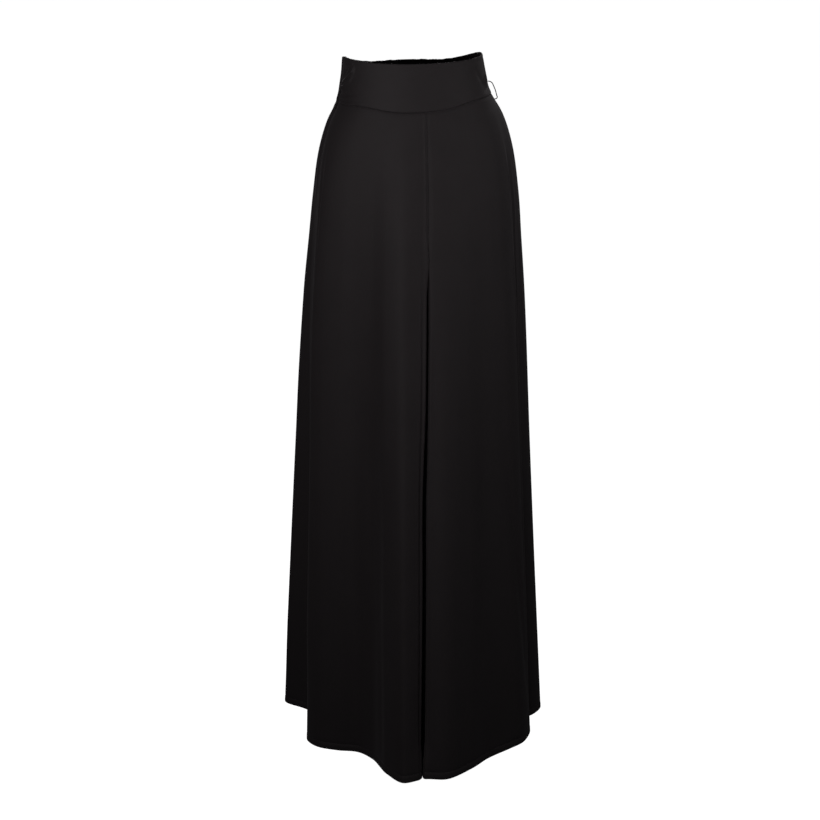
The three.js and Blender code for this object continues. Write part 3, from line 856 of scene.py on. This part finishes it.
def mixed_tone(nodes, links, share, dark, light):
    node = nodes.new("ShaderNodeMix")
    node.data_type = "RGBA"
    node.inputs["A"].default_value = (*dark, 1)
    node.inputs["B"].default_value = (*light, 1)
    links.new(share, node.inputs["Factor"])
    return node.outputs["Result"]


def bump_node(nodes, links, height, strength, distance):
    node = nodes.new("ShaderNodeBump")
    node.inputs["Strength"].default_value = strength
    node.inputs["Distance"].default_value = distance
    links.new(height, node.inputs["Height"])
    return node


def crepe(name, dark, light, roughness):
    """Black crepe: fine uneven weave, a dry sheen, and slow changes of tone."""
    material, shader, nodes, links = new_material(name)
    place = nodes.new("ShaderNodeAttribute")
    place.attribute_name = "weave"
    at = place.outputs["Vector"]

    slow = noise_node(nodes, links, at, 22, 3)
    grain = noise_node(nodes, links, at, 900, 2, 0.6)
    both = nodes.new("ShaderNodeMath")
    both.operation = "MULTIPLY_ADD"
    both.inputs[1].default_value = 0.45
    links.new(grain, both.inputs[0])
    links.new(map_range(nodes, links, slow, 0.3, 0.7, 0.15, 0.35), both.inputs[2])
    links.new(mixed_tone(nodes, links, both.outputs["Value"], dark, light), shader.inputs["Base Color"])
    rough = map_range(nodes, links, grain, 0.3, 0.7, roughness - 0.05, roughness + 0.08)
    links.new(rough, shader.inputs["Roughness"])
    shader.inputs["Specular IOR Level"].default_value = 0.35
    shader.inputs["Sheen Weight"].default_value = 0.06
    shader.inputs["Sheen Roughness"].default_value = 0.45
    shader.inputs["Sheen Tint"].default_value = (0.9, 0.86, 0.9, 1)

    cross = nodes.new("ShaderNodeMath")
    cross.operation = "ADD"
    links.new(thread_waves(nodes, links, at, "X", 330, 1.6), cross.inputs[0])
    links.new(thread_waves(nodes, links, at, "Y", 290, 2.2), cross.inputs[1])
    threads = bump_node(nodes, links, cross.outputs["Value"], 0.25, 0.00012)
    pebble = noise_node(nodes, links, at, 420, 3, 0.55)
    crinkle = bump_node(nodes, links, pebble, 0.35, 0.0003)
    links.new(threads.outputs["Normal"], crinkle.inputs["Normal"])
    links.new(crinkle.outputs["Normal"], shader.inputs["Normal"])
    return material


def thread_material():
    """Black thread with a fine ply."""
    material, shader, nodes, links = new_material("black_thread")
    place = nodes.new("ShaderNodeTexCoord")
    ply = noise_node(nodes, links, place.outputs["Object"], 1600, 2)
    links.new(mixed_tone(nodes, links, ply, *THREAD_TONES), shader.inputs["Base Color"])
    shader.inputs["Roughness"].default_value = 0.6
    bump = bump_node(nodes, links, ply, 0.4, 0.0002)
    links.new(bump.outputs["Normal"], shader.inputs["Normal"])
    return material


def floor_material():
    """A pale floor that stays light far from the lamps."""
    material, shader, nodes, links = new_material("pale_floor")
    place = nodes.new("ShaderNodeTexCoord")
    mottle = noise_node(nodes, links, place.outputs["Object"], 3, 2)
    links.new(mixed_tone(nodes, links, mottle, *FLOOR_TONES), shader.inputs["Base Color"])
    shader.inputs["Roughness"].default_value = 0.9
    shader.inputs["Specular IOR Level"].default_value = 0.1
    shader.inputs["Emission Color"].default_value = (1, 1, 1, 1)
    shader.inputs["Emission Strength"].default_value = 1.0
    return material


# Lamps, each with its place and target, width and height in metres, power in watts and spread in degrees
LAMPS = {
    "key": ((0, -0.7, 0.14), (0, 0, -0.03), 0.8, 0.3, 0.35, 180),
    "key_left": ((-0.74, -0.97, 0.06), (-0.1, 0, -0.06), 0.5, 0.3, 5.5, 180),
    "key_right": ((1.0, -0.72, 0.12), (0.1, 0, -0.06), 0.6, 0.3, 3.3, 180),
    "right_rim": ((1.3, 1.1, 0.4), (0.14, 0.02, -0.03), 0.3, 0.3, 0.08, 30),
    "back": ((-0.1, 1.4, 0.2), (0, 0, -0.2), 0.25, 0.5, 4.5, 180),
    "above": ((0, -0.1, 1.3), (0, 0, 0), 0.5, 0.5, 1.2, 180),
}
LAMP_TINT = (1, 0.955, 0.97)
WORLD_TINT = (0.95, 0.96, 1.0, 1)
WORLD_STRENGTH = 0.025


def area_lamp(name, place, target, width, height, power, spread):
    """A rectangular lamp that stays out of the picture."""
    lamp = bpy.data.lights.new(name, "AREA")
    lamp.shape = "RECTANGLE"
    lamp.size = width
    lamp.size_y = height
    lamp.energy = power
    lamp.color = LAMP_TINT
    lamp.spread = math.radians(spread)
    holder = bpy.data.objects.new(name, lamp)
    holder.location = place
    holder.rotation_euler = (Vector(target) - Vector(place)).to_track_quat("-Z", "Y").to_euler()
    holder.visible_camera = False
    bpy.context.collection.objects.link(holder)


# The photograph's view
CAMERA_TURN = math.radians(-9)
CAMERA_TILT = math.radians(17)
CAMERA_DISTANCE = 5.0
CAMERA_AIM = Vector((-0.00444, 0, -0.46841))
CAMERA_LENS = 146.19
CAMERA_SENSOR = 36


def add_camera():
    """The camera, which looks down a little from the wearer's right."""
    back = Vector((
        math.sin(CAMERA_TURN) * math.cos(CAMERA_TILT),
        -math.cos(CAMERA_TURN) * math.cos(CAMERA_TILT),
        math.sin(CAMERA_TILT),
    ))
    lens = bpy.data.cameras.new("camera")
    lens.sensor_width = CAMERA_SENSOR
    lens.lens = CAMERA_LENS
    camera = bpy.data.objects.new("camera", lens)
    camera.location = CAMERA_AIM + back * CAMERA_DISTANCE
    camera.rotation_euler = back.to_track_quat("Z", "Y").to_euler()
    bpy.context.collection.objects.link(camera)
    bpy.context.scene.camera = camera


# Floor, in metres
FLOOR_Z = -1.09
FLOOR_RADIUS = 14


def add_studio():
    """The floor, a faint light from all round, and the lamps."""
    place = (0, 0, FLOOR_Z)
    bpy.ops.mesh.primitive_circle_add(vertices=96, radius=FLOOR_RADIUS, fill_type="NGON", location=place)
    floor = bpy.context.object
    floor.name = "floor"
    floor.data.materials.append(floor_material())
    floor.visible_diffuse = False
    floor.visible_glossy = False
    world = bpy.data.worlds.new("studio")
    world.use_nodes = True
    background = world.node_tree.nodes["Background"]
    background.inputs["Color"].default_value = WORLD_TINT
    background.inputs["Strength"].default_value = WORLD_STRENGTH
    bpy.context.scene.world = world
    for name, lamp in LAMPS.items():
        area_lamp(name, *lamp)
    bpy.context.scene.view_settings.view_transform = "Standard"


# Flat cuts in metres, (width, length), and the area where the cut isn't a rectangle
LEG_CUTS = {
    "front": {"flat": (0.53, 1.0), "area": 0.385},
    "back": {"flat": (0.49, 1.0), "area": 0.36},
}
LEG_NODES = {"front": ["leg_front"], "back": ["seat", "leg_back"]}


def dress(piece, nodes, material):
    """Give a piece its material, hang it from the root, and hide the parts of the model that it stands in
    for.
    """
    piece.data.materials.append(material)
    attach(piece, "root")
    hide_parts(*nodes)


add_camera()
add_studio()
leg_cloth = crepe("black_crepe", *LEG_TONES, 0.72)
band_cloth = crepe("black_crepe_band", *BAND_TONES, 0.7)
thread = thread_material()

front_band = waistband("front")
dress(front_band, ["waistband_front"], band_cloth)
back_band = waistband("back")
dress(back_band, ["waistband_back"], band_cloth)
for name in LEGS:
    for part, cut in LEG_CUTS.items():
        piece, hem_line = leg_panel(name, part)
        dress(piece, [f"{name}_{node}" for node in LEG_NODES[part]], leg_cloth)
        row = stitches(f"{name}_{part}_hem_stitches", hem_line)
        dress(row, [], thread)
    dress(belt_loop(name), [f"{name}_belt_loop"], thread)
